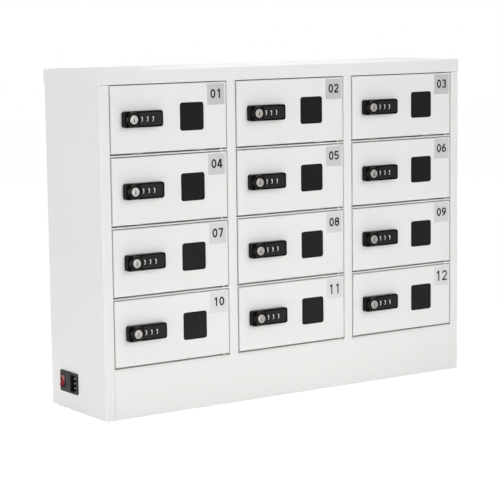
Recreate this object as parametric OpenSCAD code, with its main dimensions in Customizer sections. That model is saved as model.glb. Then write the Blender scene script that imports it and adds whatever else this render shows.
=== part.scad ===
// Steel locker for phones: three columns of four doors on a plinth.
// Every door has a combination lock with a key override, a dark window and
// concealed pin hinges. A charging outlet sits in the back of every
// compartment, fed by a supply in the plinth through a mains inlet.
// Millimetres, Z up. The origin is the centre of the base, the front faces -Y.

/* [Cabinet] */
// Overall width, across the top cap
cap_w = 645; // [600:1:760]
// Overall depth of the top cap
cap_d = 160; // [150:1:220]
// Overall height
cabinet_h = 490; // [460:1:640]
// Height of the plinth board below the floor of the lowest row
plinth_h = 70; // [66:0.5:90]
// Height of the top cap's front band and flanges
band_h = 19.3; // [16:0.1:26]
// Thickness of the steel sheet
sheet = 1; // [0.8:0.1:1.2]
// Outer radius of a folded edge
bend_r = 1.5; // [1.2:0.1:1.8]

/* [Openings] */
// Width of the two outer stiles
outer_stile = 15; // [14:0.5:24]
// Width of the two middle stiles
mid_stile = 15; // [14:0.5:24]
// Depth of the stile lips and of the door pans
pan_d = 12; // [11.5:0.5:14]
// Gap above a closed door
top_gap = 1.3; // [1:0.1:2]
// Gap below a closed door
foot_gap = 2; // [1:0.1:2.4]
// Gap at the hinge side of a closed door
hinge_gap = 0.8; // [0.7:0.1:1.6]
// Gap at the lock side of a closed door
lock_gap = 1.7; // [1.4:0.1:2.5]
// Outer radius of a door's folded edges
door_r = 2; // [1.4:0.1:2.2]
// Depth left for the wiring behind the charging panel
wiring_d = 30; // [28:1:50]

/* [Hinges] */
// Diameter of a hinge pin
pin_d = 3; // [2.5:0.1:3.4]
// Radial play of a pin in its door
pin_play = 0.05; // [0.03:0.01:0.1]
// Hinge axis, in from the right edge of the door
hinge_in = 7.5; // [6.5:0.1:8]
// Hinge axis, back from the front of the door
hinge_back = 4.2; // [4:0.1:4.6]
// How far a pin reaches into a door
pin_reach = 4; // [3:0.5:5]

/* [Windows] */
// Side of the square window
window = 40; // [30:1:44]
// Corner radius of the window
window_r = 4; // [2:0.5:6]
// Centre of the window, in from the left edge of the door
window_x = 133.1; // [130:0.1:142]

/* [Locks] */
// Length of the lock case
lock_l = 62.5; // [61:0.5:64]
// Height of the lock case
lock_h = 23; // [21:0.5:24]
// How far the lock case stands out of the door
lock_out = 9; // [8.5:0.1:10]
// Left end of the lock case, in from the left edge of the door
lock_x = 18; // [17:0.1:20]
// Diameter of the turning knob
knob_d = 21; // [19:0.5:21]
// How far the face of the knob stands out of the door
knob_out = 14.8; // [13:0.1:18]
// Diameter of the key cylinder in the knob
plug_d = 13; // [12:0.1:15]
// Diameter of a number wheel
wheel_d = 15; // [14:0.1:15]
// Distance between neighbouring number wheels
wheel_pitch = 9; // [8.5:0.1:9.2]
// Length of the cam behind the door, from its axis to its tip
cam_l = 36; // [35:0.5:37.5]

/* [Charging] */
// Outlet face, width
outlet_w = 24; // [20:1:30]
// Outlet face, height
outlet_h = 16; // [13:1:20]
// Mains inlet flange, front to back
inlet_w = 50; // [49:0.5:54]
// Mains inlet flange, height
inlet_h = 31; // [30.5:0.5:36]
// Centre of the mains inlet, back from the middle of the cabinet
inlet_y = 24.2; // [18:0.1:28]
// Centre of the mains inlet, above the base
inlet_z = 40.2; // [30:0.1:44]
// Tilt of the rocker to either side
rocker_tilt = 10; // [8:1:10]

/* [Wall holes] */
// Diameter of a wall screw hole
wall_hole_d = 7; // [5:0.5:8]
// Distance between the wall holes across the cabinet
wall_hole_dx = 460; // [420:5:480]

/* [Hidden] */
$fn = 48;
cols = 3;
rows = 4;
doors = cols * rows;
e = 0.5;
hem = 2 * sheet;
half_d = cap_d / 2;
front_y = -half_d;
body_w = cap_w - 2 * sheet;
rear_y = half_d - 2 * sheet;
side_x = body_w / 2;
inner_x = side_x - sheet;
open_top = cabinet_h - band_h;
open_w = (body_w - 2 * outer_stile - (cols - 1) * mid_stile) / cols;
open_h = (open_top - plinth_h - rows * hem) / rows;
leaf_w = open_w - hinge_gap - lock_gap;
leaf_h = open_h - top_gap - foot_gap;
row_pitch = open_h + hem;
col_pitch = open_w + mid_stile;
panel_y = rear_y - wiring_d;
seam = 0.4;
fit = 0.05;
mid_up = 0.5;
mid_z = open_h / 2 - foot_gap + mid_up;
lock_z = mid_z - lock_h / 2;
lock_r = 3.5;
knob_x = 11.8;
wheel_x = 28.3;
knob_play = 0.1;
spindle_r = 4;
case_l = 52;
case_h = 18;
case_in = 11.5;
case_x = (lock_l - case_l) / 2;
cam_y = pan_d + 1.5;
cam_t = 2;
wheel_w = 5.6;
wheel_out = 0.5;
wheel_y = -lock_out - wheel_out + wheel_d / 2;
screw_x = 2.6;
clamp_h = 26;
clamp_t = 1.2;
back_screw_x = side_x - 8;
back_screw_in = 60;
back_screw_z = [for (k = [0 : 3]) back_screw_in + k * (cabinet_h - 2 * back_screw_in) / 3];
outlet_dx = 50;
outlet_up = 26;
mouth_w = 12.6;
mouth_h = 5.2;
socket_y = -14;
wall_hole_low = plinth_h + hem + open_h / 2;
wall_hole_dz = (rows - 1) * row_pitch;

// Two-digit name of a door, lock, knob or dial set
function nn(i) = i < 9 ? str("0", i + 1) : str(i + 1);
// Left edge of the opening in a column
function open_x(c) = -side_x + outer_stile + c * col_pitch;
// Bottom edge of the opening in a row, counted from the top
function open_z(r) = open_top - open_h - r * row_pitch;
// Column and row of a door, counted from the top left
function col_of(i) = i % cols;
function row_of(i) = floor(i / cols);
// Centre plane of a middle partition
function wall_x(k) = open_x(k) + open_w + mid_stile / 2;
// Clear faces to the left and right of a compartment
function clear_left(c) = c == 0 ? -inner_x : wall_x(c - 1) + sheet / 2;
function clear_right(c) = c == cols - 1 ? inner_x : wall_x(c) - sheet / 2;
// Hinge axis of a column
function hinge_x(c) = open_x(c) + open_w - hinge_gap - hinge_in;

// Flat shapes

// Rectangle with all corners rounded
module round_rect(w, h, r) {
    translate([r, 0]) square([w - 2 * r, h]);
    translate([0, r]) square([w, h - 2 * r]);
    for (x = [r, w - r])
        for (y = [r, h - r])
            translate([x, y]) circle(r);
}

// Rectangle with its two corners at y = 0 rounded
module front_round(w, d, r) {
    translate([r, 0]) square([w - 2 * r, d]);
    translate([0, r]) square([w, d - r]);
    for (x = [r, w - r])
        translate([x, r]) circle(r);
}

// Turned and folded forms

// A flat shape drawn as seen from the front, given depth towards the back
module face_on(depth) {
    translate([0, depth, 0]) rotate([90, 0, 0]) linear_extrude(depth) children();
}

// A flat shape with x up and y to the back, drawn out along X
module side_on(length) {
    translate([length, 0, 0]) rotate([0, -90, 0]) linear_extrude(length) children();
}

// Block whose four front edges are folded round
module soft_front(w, d, h, r) {
    intersection() {
        linear_extrude(h) front_round(w, d, r);
        side_on(w) front_round(h, d, r);
    }
}

module at_door(i) {
    translate([open_x(col_of(i)) + lock_gap, front_y, open_z(row_of(i)) + foot_gap])
        children();
}

module at_lock(i) {
    at_door(i) translate([lock_x, 0, lock_z]) children();
}

// Cylinder along +Y, from its starting face
module rod_y(r, h) {
    rotate([-90, 0, 0]) cylinder(h = h, r = r);
}

// Cylinder along +X, from its starting face
module rod_x(r, h) {
    rotate([0, 90, 0]) cylinder(h = h, r = r);
}

// Cabinet sheet metal

// Sides, floor and outer stiles, folded from one sheet
module body_wrap() {
    stile_top = open_top - seam;
    color("whitesmoke") {
        difference() {
            // Folded outside, closed in front by the outer stiles
            intersection() {
                translate([-side_x, front_y, 0])
                    linear_extrude(stile_top) front_round(body_w, rear_y - front_y, bend_r);
                translate([-side_x, rear_y, 0]) rotate([90, 0, 0])
                    linear_extrude(rear_y - front_y) front_round(body_w, stile_top, bend_r);
            }
            // Hollow inside
            translate([-inner_x, front_y + sheet, sheet])
                cube([2 * inner_x, rear_y - front_y - 2 * sheet, cabinet_h]);
            // Open front between the outer stiles
            translate([-side_x + outer_stile, front_y - e, sheet])
                cube([body_w - 2 * outer_stile, pan_d, cabinet_h]);
            translate([-side_x + outer_stile, front_y - e, -e])
                cube([body_w - 2 * outer_stile, sheet + e, hem + e]);
            // Open back between the rear flanges
            translate([-side_x + outer_stile, rear_y - pan_d, 15])
                cube([body_w - 2 * outer_stile, pan_d + e, cabinet_h]);
            inlet_cut();
            for (x = [-1, 1])
                for (z = back_screw_z)
                    translate([x * back_screw_x, rear_y - sheet - e, z]) rod_y(2, sheet + 2 * e);
            at_supply_screws() translate([0, 0, -sheet - e]) cylinder(h = sheet + 2 * e, r = 2);
        }
        // Return lips of the outer stiles
        for (s = [0, 1])
            mirror([s, 0, 0])
                translate([-side_x + outer_stile - sheet, front_y + sheet, sheet])
                    cube([sheet, pan_d - sheet, stile_top - sheet]);
        // Sides carried on up inside the top cap
        for (s = [0, 1])
            mirror([s, 0, 0])
                translate([-side_x, front_y + sheet, stile_top - e])
                    cube([sheet, rear_y - front_y - sheet, cabinet_h - sheet - stile_top + e]);
    }
}

// Hole for the mains inlet in the left side
module inlet_cut() {
    translate([-side_x - e, inlet_y - inlet_w / 2 + 0.9, inlet_z - inlet_h / 2 + 1.9])
        cube([sheet + 2 * e, inlet_w - 1.8, inlet_h - 3.8]);
}

// Folded lid with a front band, side and rear flanges and a front return lip
module top_cap() {
    color("white")
        difference() {
            union() {
                difference() {
                    intersection() {
                        translate([-cap_w / 2, front_y, open_top])
                            linear_extrude(band_h) round_rect(cap_w, cap_d, bend_r);
                        translate([-cap_w / 2, half_d, cabinet_h]) rotate([-90, 0, 0])
                            mirror([0, 0, 1]) linear_extrude(cap_d)
                                front_round(cap_w, band_h, bend_r);
                        translate([cap_w / 2, 0, cabinet_h]) rotate([0, 0, 90]) rotate([-90, 0, 0])
                            translate([front_y, 0, 0]) linear_extrude(cap_w)
                                front_round(cap_d, band_h, bend_r);
                    }
                    translate([-side_x, front_y + sheet, open_top - e])
                        cube([body_w, cap_d - 2 * sheet, band_h - sheet + e]);
                }
                // Return lip over the top row, which carries its upper pins
                translate([-inner_x + pan_d, front_y + sheet - 0.2, open_top])
                    cube([2 * (inner_x - pan_d), 17, sheet]);
            }
            for (c = [0 : cols - 1])
                translate([hinge_x(c), front_y + hinge_back, open_top - e])
                    cylinder(h = sheet + 2 * e, d = pin_d + fit);
        }
}

// Middle stiles welded to the plinth board
module front_frame() {
    board_w = body_w - 2 * outer_stile - 2 * 0.3;
    color("whitesmoke") {
        for (k = [0 : cols - 2])
            translate([wall_x(k) - mid_stile / 2, front_y, 0])
                difference() {
                    translate([0, 0, plinth_h - 4])
                        linear_extrude(open_top - plinth_h + 4) front_round(mid_stile, pan_d, bend_r);
                    translate([sheet, sheet, -e])
                        cube([mid_stile - 2 * sheet, pan_d, cabinet_h]);
                    // The lips stop on the plinth's top flange
                    translate([-e, sheet, -e])
                        cube([mid_stile + 2 * e, pan_d, plinth_h - sheet / 2 + e]);
                }
        difference() {
            translate([-board_w / 2, front_y, 0])
                side_on(board_w)
                    difference() {
                        union() {
                            square([plinth_h - bend_r, pan_d]);
                            translate([0, bend_r]) square([plinth_h, pan_d - bend_r]);
                            translate([plinth_h - bend_r, bend_r]) circle(bend_r);
                        }
                        translate([-e, sheet]) square([plinth_h - sheet + e, pan_d]);
                    }
            // Clear of the outer stiles' lips
            for (s = [-1, 1])
                translate([s * (side_x - outer_stile) - 2, front_y + sheet, -e])
                    cube([4, pan_d - sheet + 0.3, plinth_h + 2 * e]);
        }
    }
}

// Shelf with a folded front rail, side flanges and stop tabs for a door.
// Its top face is at z = 0 and its rail is level with the stiles.
module shelf(c) {
    x0 = clear_left(c) + fit;
    x1 = clear_right(c) - fit;
    lip_y = front_y + pan_d + 0.3;
    // Front rail, a sheet folded back on itself
    translate([open_x(c), front_y, -hem])
        difference() {
            side_on(open_w) {
                translate([0, sheet]) square([hem, 10 - sheet]);
                translate([sheet, sheet]) circle(sheet);
            }
            translate([open_w - hinge_gap - hinge_in, hinge_back, -e])
                cylinder(h = hem + 2 * e, d = pin_d + fit);
        }
    translate([open_x(c), front_y + 9, -sheet]) cube([open_w, lip_y - front_y - 9 + e, sheet]);
    // Wide part behind the stile lips
    translate([x0, lip_y, -sheet]) cube([x1 - x0, panel_y - lip_y, sheet]);
    for (x = [x0, x1 - sheet])
        translate([x, lip_y, -8]) cube([sheet, panel_y - lip_y, 8 - sheet / 2]);
    // Stop tabs behind the door's lower edge
    for (x = [45, 150])
        translate([open_x(c) + x, front_y + pan_d + 0.5, -sheet]) cube([14, sheet, 7]);
}

// Two upright partitions and a shelf under every compartment
module dividers() {
    color("gainsboro") {
        for (k = [0 : cols - 2])
            difference() {
                translate([wall_x(k) - sheet / 2, front_y + sheet, plinth_h])
                    cube([sheet, panel_y - front_y - sheet, cabinet_h - sheet - plinth_h]);
                // Notch for the cap's return lip
                translate([wall_x(k) - sheet, front_y, open_top - e])
                    cube([2 * sheet, 18.5, 3]);
            }
        for (c = [0 : cols - 1])
            for (r = [0 : rows - 1])
                translate([0, 0, open_z(r)]) shelf(c);
    }
}

// Removable back with its thin-headed screws
module back_panel() {
    color("gainsboro")
        difference() {
            translate([-side_x + 2, rear_y, 2]) cube([body_w - 4, sheet, cabinet_h - 4]);
            for (x = [-1, 1])
                for (z = back_screw_z)
                    translate([x * back_screw_x, rear_y - e, z]) rod_y(2, sheet + 2 * e);
            for (x = [-1, 1])
                for (z = [0, 1])
                    translate([x * wall_hole_dx / 2, rear_y - e, wall_hole_low + z * wall_hole_dz])
                        rod_y(wall_hole_d / 2, sheet + 2 * e);
        }
    color("silver")
        for (x = [-1, 1])
            for (z = back_screw_z)
                translate([x * back_screw_x, 0, z]) {
                    translate([0, rear_y + sheet + fit, 0]) rod_y(4, sheet - fit);
                    translate([0, rear_y - sheet - 5, 0]) rod_y(2 - fit, sheet * 2 + 5.2);
                }
}

// Sheet that closes the compartments in front of the wiring
module charging_panel() {
    color("gainsboro")
        difference() {
            translate([-inner_x, panel_y, plinth_h + sheet])
                cube([2 * inner_x, sheet, cabinet_h - sheet - plinth_h - sheet]);
            for (i = [0 : doors - 1])
                at_outlet(i)
                    translate([-outlet_w / 2 + 2, -e, -outlet_h / 2 + 2])
                        cube([outlet_w - 4, sheet + 2 * e, outlet_h - 4]);
            // A driver reaches the wall screws through these
            for (x = [-1, 1])
                for (z = [0, 1])
                    translate([x * wall_hole_dx / 2, panel_y - e, wall_hole_low + z * wall_hole_dz])
                        rod_y(wall_hole_d, sheet + 2 * e);
        }
}

module at_outlet(i) {
    translate([open_x(col_of(i)) + open_w / 2 + outlet_dx, panel_y, open_z(row_of(i)) + outlet_up])
        children();
}

// Pins pressed through the rails, with heads over the cap's lip
module hinge_pins() {
    color("silver")
        for (c = [0 : cols - 1])
            translate([hinge_x(c), front_y + hinge_back, 0]) {
                down = top_gap + pin_reach;
                up = foot_gap + pin_reach;
                translate([0, 0, open_top - down])
                    cylinder(h = down + sheet, d = pin_d);
                translate([0, 0, open_top + sheet]) cylinder(h = 1.5, d = pin_d + 2);
                for (r = [0 : rows - 2])
                    translate([0, 0, open_z(r) - hem - down])
                        cylinder(h = down + hem + up, d = pin_d);
                translate([0, 0, open_z(rows - 1) - hem])
                    cylinder(h = hem + up, d = pin_d);
            }
}

// Charging

// One outlet module in the back of every compartment
module usb_outlets() {
    color("dimgray")
        for (i = [0 : doors - 1])
            at_outlet(i)
                difference() {
                    union() {
                        translate([-outlet_w / 2, -2, -outlet_h / 2])
                            face_on(2) round_rect(outlet_w, outlet_h, 1.5);
                        translate([-outlet_w / 2 + 2, -0.2, -outlet_h / 2 + 2])
                            cube([outlet_w - 4, 16.2, outlet_h - 4]);
                    }
                    translate([-mouth_w / 2, -2 - e, -mouth_h / 2]) cube([mouth_w, 10 + e, mouth_h]);
                }
}

supply = [110, 78, 36];
supply_at = [-side_x + 116.5, -42, sheet];
supply_foot = 12;
supply_hole_in = 12;
tab_in = 33;
loom_back = 14;
strip_w = 8;
tab_x = -side_x + tab_in;
lead_y = inlet_y + socket_y;

// Origin on the cabinet floor at each mounting screw of the supply
module at_supply_screws() {
    for (x = [-supply_foot / 2, supply[0] + supply_foot / 2])
        for (y = [supply_hole_in, supply[1] - supply_hole_in])
            translate([supply_at[0] + x, supply_at[1] + y, supply_at[2]]) children();
}

// Mains to low voltage supply, screwed to the cabinet floor
module power_supply() {
    color("silver")
        difference() {
            translate(supply_at) {
                cube(supply);
                translate([-supply_foot, 0, 0])
                    cube([supply[0] + 2 * supply_foot, supply[1], 1.5]);
            }
            at_supply_screws() translate([0, 0, -e]) cylinder(h = 3, r = 2);
        }
    // Terminal strip, level with the blades of the inlet
    color("dimgray")
        translate([supply_at[0] - strip_w - fit, lead_y - 6, inlet_z - 13]) cube([strip_w, 12, 26]);
    // Mounting screws
    color("gray")
        at_supply_screws() {
            translate([0, 0, 0.1 - sheet]) cylinder(h = sheet + 2, r = 2 - fit);
            translate([0, 0, 1.5 + fit]) cylinder(h = 2, r = 3.6);
        }
}

// Looms behind the charging panel and the mains leads in the plinth
module wiring() {
    loom_y = panel_y + loom_back;
    loom_dx = outlet_w / 2 + 8;
    trunk_z = 30;
    supply_x = supply_at[0] + supply[0] / 2;
    x0 = open_x(0) + open_w / 2 + outlet_dx + loom_dx;
    color("dimgray") {
        for (c = [0 : cols - 1])
            translate([x0 + c * col_pitch, loom_y, 0]) {
                translate([0, 0, trunk_z])
                    cylinder(h = open_z(0) + outlet_up + 4 - trunk_z, r = 3);
                for (r = [0 : rows - 1])
                    translate([outlet_w / 2 - 2 + fit - loom_dx, 0, open_z(r) + outlet_up])
                        rod_x(1.8, loom_dx - outlet_w / 2 + 2 - fit);
            }
        // Trunk along the plinth, and its lead forward into the supply
        translate([supply_x - 8, loom_y, trunk_z])
            rod_x(4, x0 + (cols - 1) * col_pitch + 8 - supply_x + 8);
        translate([supply_x, supply_at[1] + supply[1] + fit, trunk_z])
            rod_y(3.2, loom_y - supply_at[1] - supply[1] - fit);
    }
    // Three mains leads from the inlet to the terminal strip
    for (k = [-1 : 1])
        color(["saddlebrown", "yellowgreen", "steelblue"][k + 1])
            translate([tab_x + fit, lead_y, inlet_z + blade_dz * k])
                rod_x(1.4, supply_at[0] - strip_w - 2 * fit - tab_x - fit);
}

// Mains inlet with a socket towards the front and a rocker towards the back
socket_w = 17;
socket_h = 24.4;
well_y = 16.1;
well_w = 11.6;
well_h = 18;
flange_t = 2.8;
pivot_in = 3;
pivot_r = 1;
pivot_seat = 0.9;
blade_in = 2.5;
inlet_deep = 28;
socket_cut = 4.5;
blade_dz = 7;

module power_inlet() {
    body_h = inlet_h - 4;
    body_w0 = inlet_w - 2;
    color("#222222")
        translate([-side_x, inlet_y, inlet_z])
            difference() {
                union() {
                    translate([-flange_t, inlet_w / 2, -inlet_h / 2])
                        rotate([0, 0, -90]) face_on(flange_t) round_rect(inlet_w, inlet_h, 2.5);
                    translate([-0.2, -body_w0 / 2, -body_h / 2]) cube([inlet_deep, body_w0, body_h]);
                }
                // Socket, with two corners cut off
                translate([-flange_t - e, socket_y + socket_w / 2, -socket_h / 2])
                    rotate([0, 0, -90]) face_on(16.5 + e)
                        polygon([[0, 0], [socket_w - socket_cut, 0], [socket_w, socket_cut],
                                 [socket_w, socket_h - socket_cut],
                                 [socket_w - socket_cut, socket_h], [0, socket_h]]);
                // Well of the rocker and the seats of its pivots
                translate([-flange_t - e, well_y - well_w / 2, -well_h / 2])
                    cube([16 + e, well_w, well_h]);
                translate([-flange_t + pivot_in, well_y - well_w / 2 - pivot_seat, 0])
                    rod_y(pivot_r + fit, well_w + 2 * pivot_seat);
                for (z = [-blade_dz, 0, blade_dz])
                    translate([10, socket_y - 2 - fit, z - 1 - fit])
                        cube([20, 4 + 2 * fit, 2 + 2 * fit]);
            }
    // Blades, carried through to the solder tabs behind
    color("silver")
        translate([-side_x, inlet_y, inlet_z])
            for (z = [-blade_dz, 0, blade_dz])
                translate([blade_in - flange_t, socket_y - 2, z - 1])
                    cube([tab_x + side_x + flange_t - blade_in, 4, 2]);
}

// Red rocker, resting with its lower end out
module rocker_switch() {
    half = well_h / 2 - 1;
    rise = 2.6;
    width = well_w - 0.6;
    pins = well_w + 2 * pivot_seat - 0.4;
    color("red")
        translate([-side_x - flange_t + pivot_in, inlet_y + well_y, inlet_z])
            rotate([0, rocker_tilt, 0]) {
                translate([0, width / 2, 0]) rotate([90, 0, 0]) linear_extrude(width)
                    polygon([[-pivot_in - rise, -half], [-pivot_in + 0.3, 0],
                             [-pivot_in - rise, half], [3, half - 0.6], [6, half - 4],
                             [6, 4 - half], [3, 0.6 - half]]);
                translate([0, -pins / 2, 0]) rod_y(pivot_r, pins);
            }
}

// Doors

// Folded pan with a pin boss at the top and the bottom, and its dark window
module door(i) {
    at_door(i) {
        color("whitesmoke")
            difference() {
                union() {
                    difference() {
                        soft_front(leaf_w, pan_d, leaf_h, door_r);
                        translate([sheet, sheet, sheet])
                            cube([leaf_w - 2 * sheet, pan_d, leaf_h - 2 * sheet]);
                    }
                    for (z = [sheet / 2, leaf_h - pin_reach - sheet])
                        translate([leaf_w - hinge_in, hinge_back, z])
                            cylinder(h = pin_reach + sheet / 2, r = hinge_back - sheet + 0.1);
                }
                for (z = [-e, leaf_h - pin_reach - sheet - e])
                    translate([leaf_w - hinge_in, hinge_back, z])
                        cylinder(h = pin_reach + sheet + 2 * e, r = pin_d / 2 + pin_play);
                translate([window_x - window / 2, -e, mid_z - window / 2])
                    face_on(sheet + 2 * e) round_rect(window, window, window_r);
                // Cut-out and screw holes for the lock
                translate([lock_x + case_x - 0.2, -e, mid_z - case_h / 2 - 0.2])
                    cube([case_l + 0.4, sheet + 2 * e, case_h + 0.4]);
                for (x = [screw_x, lock_l - screw_x])
                    translate([lock_x + x, -e, mid_z]) rod_y(1.7, sheet + 2 * e);
            }
        // Pane: a plate behind the sheet with a raised field that fills the cut-out
        color("#282826") {
            margin = 3.5;
            side = window + 2 * margin;
            translate([window_x - side / 2, sheet + fit, mid_z - side / 2])
                face_on(2) round_rect(side, side, window_r + 1);
            field = window - 0.4;
            translate([window_x - field / 2, 0.4, mid_z - field / 2])
                face_on(sheet) round_rect(field, field, window_r - 0.2);
        }
    }
}

// Lock case with its wheel slots, axle, rear cover, clamp plate and screws
module lock(i) {
    mid = lock_h / 2;
    pocket_x = wheel_x - wheel_pitch / 2 - 0.5;
    pocket_l = 3 * wheel_pitch + 1;
    at_lock(i) {
        color("#181818")
            difference() {
                union() {
                    intersection() {
                        translate([0, -lock_out, 0])
                            face_on(lock_out) round_rect(lock_l, lock_h, lock_r);
                        translate([0, -lock_out, 0]) soft_front(lock_l, lock_out, lock_h, 0.8);
                    }
                    translate([case_x, -e, mid - case_h / 2])
                        cube([case_l, case_in + e, case_h]);
                }
                // Bearing of the knob spindle
                translate([knob_x, -lock_out - e, mid])
                    rod_y(spindle_r + 0.05, lock_out + case_in + 2 * e);
                // Slots of the wheels, opening into a common pocket behind
                for (k = [0 : 2])
                    translate([wheel_x + k * wheel_pitch - wheel_w / 2 - 0.3, wheel_y, mid])
                        rod_x(wheel_d / 2 + 0.5, wheel_w + 0.6);
                translate([pocket_x, wheel_y, mid - case_h / 2 + 1])
                    cube([pocket_l, case_in - wheel_y + e, case_h - 2]);
                translate([pocket_x - 3, wheel_y, mid])
                    rod_x(pin_d / 2 + fit, pocket_l + 6);
                for (x = [screw_x, lock_l - screw_x])
                    translate([x, -5, mid]) rod_y(1.5, 5 + e);
            }
        color("silver") {
            // Wheel axle
            translate([pocket_x - 3 + fit, wheel_y, mid])
                rod_x(pin_d / 2, pocket_l + 6 - 2 * fit);
            // Rear cover over the wheels
            translate([pocket_x - 1, case_in + fit, mid - case_h / 2])
                cube([pocket_l + 2, 1, case_h]);
            // Clamp plate behind the door sheet
            difference() {
                translate([-1, sheet + fit, mid - clamp_h / 2]) cube([lock_l + 2, clamp_t - fit, clamp_h]);
                translate([case_x - 0.2, sheet - e, mid - case_h / 2 - 0.2])
                    cube([case_l + 0.4, 3, case_h + 0.4]);
                for (x = [screw_x, lock_l - screw_x])
                    translate([x, sheet - e, mid]) rod_y(1.5, 3);
            }
            for (x = [screw_x, lock_l - screw_x]) {
                translate([x, fit - 5, mid]) rod_y(1.5 - fit, 5 + sheet + clamp_t + 0.2);
                translate([x, sheet + clamp_t + fit, mid]) rod_y(2.2, 1.4);
            }
        }
    }
}

// Turning knob with its key cylinder, spindle, cam and nut.
// At rest the cam stands upright, clear of the stile.
module knob(i) {
    face = knob_out - lock_out - knob_play;
    at_lock(i)
        translate([knob_x, 0, lock_h / 2]) {
            color("#141414") {
                translate([0, -lock_out - knob_play, 0]) rotate([90, 0, 0])
                    rotate_extrude()
                        polygon([[0, 0], [knob_d / 2, 0], [knob_d / 2, face - 1],
                                 [knob_d / 2 - 1, face], [plug_d / 2, face],
                                 [plug_d / 2, 1.4], [0, 1.4]]);
                translate([0, -lock_out - knob_play - 0.2, 0])
                    rod_y(spindle_r, lock_out + knob_play + 0.2 + cam_y);
                translate([0, cam_y - 0.2, 0]) rod_y(3, cam_t + 3.6);
            }
            color("silver") {
                // Key cylinder with its keyway
                difference() {
                    translate([0, -knob_out - 0.2, 0])
                        rod_y(plug_d / 2 - fit, face - 1.4 + 0.2 - fit);
                    translate([-0.6, -knob_out - 0.2 - e, -3.6]) cube([1.2, 3 + e, 7.2]);
                }
                // Cam
                difference() {
                    translate([0, cam_y + fit, 0]) {
                        rod_y(8, cam_t);
                        translate([-6, 0, 0]) cube([12, cam_t, cam_l - 6]);
                        translate([0, 0, cam_l - 6]) rod_y(6, cam_t);
                    }
                    translate([0, cam_y - e, 0]) rod_y(3 + fit, cam_t + 2 * e);
                }
                // Nut
                difference() {
                    translate([0, cam_y + cam_t + 2 * fit, 0]) rotate([-90, 0, 0])
                        cylinder(h = 2.4, r = 5.5, $fn = 6);
                    translate([0, cam_y, 0]) rod_y(3 + fit, 8);
                }
            }
        }
}

// Three number wheels on the axle
module dials(i) {
    color("#1c1c1c")
        at_lock(i)
            for (k = [0 : 2])
                translate([wheel_x + k * wheel_pitch - wheel_w / 2, wheel_y, lock_h / 2])
                    difference() {
                        rod_x(wheel_d / 2, wheel_w);
                        translate([-e, 0, 0]) rod_x(pin_d / 2 + pin_play, wheel_w + 2 * e);
                    }
}

body_wrap();
top_cap();
front_frame();
dividers();
back_panel();
charging_panel();
hinge_pins();
usb_outlets();
power_supply();
wiring();
power_inlet();
rocker_switch();
for (i = [0 : doors - 1]) {
    door(i);
    lock(i);
    knob(i);
    dials(i);
}
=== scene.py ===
"""Looks of a steel phone locker: twelve doors with combination locks, on a plinth.

Metres, Z up, the front faces -Y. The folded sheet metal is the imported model's own, under a powder coat.
The locks, knobs, number wheels, labels, outlets, mains inlet, rocker and rear screws are drawn here. The pieces
of a door are drawn in millimetres from its lower left front corner, and the lock, knob and wheels only once.
"""

import math

import bmesh
import bpy
from mathutils import Matrix, Vector


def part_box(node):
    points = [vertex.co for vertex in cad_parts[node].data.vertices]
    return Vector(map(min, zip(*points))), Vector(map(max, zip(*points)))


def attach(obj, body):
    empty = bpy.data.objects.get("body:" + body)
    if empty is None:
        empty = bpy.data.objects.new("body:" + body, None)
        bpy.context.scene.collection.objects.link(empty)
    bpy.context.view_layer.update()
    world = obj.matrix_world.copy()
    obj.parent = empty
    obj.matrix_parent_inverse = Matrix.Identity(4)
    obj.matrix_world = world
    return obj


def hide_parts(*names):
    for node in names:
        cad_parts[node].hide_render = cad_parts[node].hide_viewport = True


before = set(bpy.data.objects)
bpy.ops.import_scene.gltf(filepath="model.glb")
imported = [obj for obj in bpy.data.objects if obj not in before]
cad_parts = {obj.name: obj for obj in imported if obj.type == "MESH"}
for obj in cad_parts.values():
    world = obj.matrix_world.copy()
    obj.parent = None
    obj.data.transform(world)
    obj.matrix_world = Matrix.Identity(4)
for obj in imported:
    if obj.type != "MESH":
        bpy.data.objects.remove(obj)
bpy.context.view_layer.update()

MM = 0.001
COLUMNS = 3
ROWS = 4
DOORS = COLUMNS * ROWS

# The camera stands where the photograph's edges and door gaps put it
CAMERA_PLACE = (-1.56383, -2.28170, 0.57454)
CAMERA_TURN = (82.4580, 0.7006, -34.1587)
CAMERA_LENS = 132.142
CAMERA_SENSOR = 36

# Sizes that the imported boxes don't give, in millimetres

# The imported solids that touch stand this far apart
JOIN = 0.05

LOCK_H = 23
LOCK_CORNER = 3.5
CASE_H = 18
CASE_IN = 11.5
CASE_END = 5.25
COVER_T = 1
INLAY_IN = 2.4
INLAY_T = 1
INLAY_CORNER = 1.4
INLAY_GAP = 0.12
PLATE_OVER = 1
PLATE_IN = 1.05
PLATE_T = 1.15
SCREW_IN = 2.6
SCREW_R = 2.2
SCREW_T = 1.4
WHEEL_W = 5.6
WHEEL_BORE = 1.6
WHEEL_GAP = 0.14
COLLAR_W = 1.3
BAND_IN = 0.1
# The digit that every wheel shows
SHOWN = 1
AXLE_R = 1.5
PLUG_R = 6.35
SPINDLE_R = 4
THREAD_R = 3
CAM_BACK = 13.5
CAM_T = 2
CAM_TIP_R = 6
CAM_BOSS_R = 8
NUT_R = 5.5
NUT_T = 2.4

LABEL_W = 28.9
LABEL_H = 30.1
LABEL_RIGHT = 3.4
LABEL_TOP = 2.3
LABEL_T = 0.3
LABEL_GREY = 0.535
# Each lower row's label film is paler by this step: painted light, for the stronger light on the lower rows
LABEL_PAINTED_LIGHT_STEP = 0.052
INK_T = 0.05
INK_IN = 0.01
DIGIT_H = 13.2
DIGIT_PITCH = 10.0
DIGITS_UP = 0.85
# Labels with larger and thinner figures: their scale, and their shift across and up
LARGE_FIGURES = {11: (1.17, -0.8, -1.8), 12: (1.28, 0.1, -0.8)}

PIVOT_IN = 3
ROCKER_TILT = 10
ROCKER_W = 11
ROCKER_HALF = 7.3
ROCKER_RISE = 2.3
ROCKER_DISH = 0.3


# Node trees

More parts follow.
